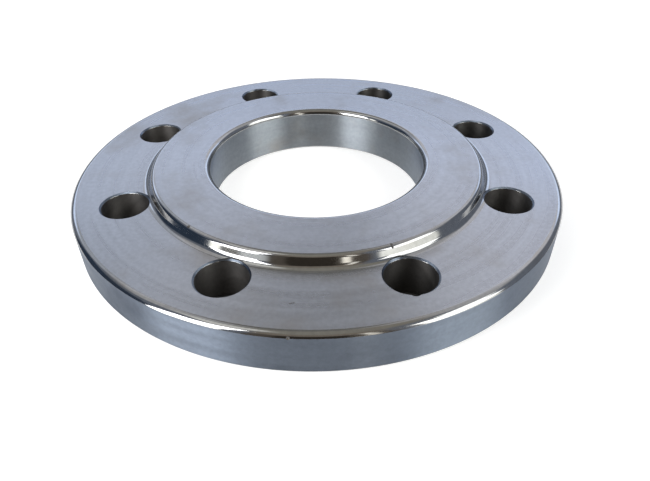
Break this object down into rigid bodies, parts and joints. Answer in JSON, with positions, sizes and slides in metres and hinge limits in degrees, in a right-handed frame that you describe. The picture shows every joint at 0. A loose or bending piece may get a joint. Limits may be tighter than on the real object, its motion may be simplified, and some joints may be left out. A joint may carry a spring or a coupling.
{
  "type": "slip on flange",
  "caption": "Flat round steel flange with a low raised sealing face, a plain bore that slips over a pipe end for welding, and a ring of bolt holes around it.",
  "frame": {"origin": "centre of the flat back face, on the bore's axis, at the bottom of the part as it lies face up", "axes": "+Z along the bore's axis from the back face towards the raised sealing face; +X and +Y lie midway between bolt holes"},
  "size_m": [0.2, 0.2, 0.02],
  "materials": {
    "steel": "turned on a lathe, satin, bare"
  },
  "bodies": {
    "root": {"flange": "steel"}
  },
  "joints": []
}
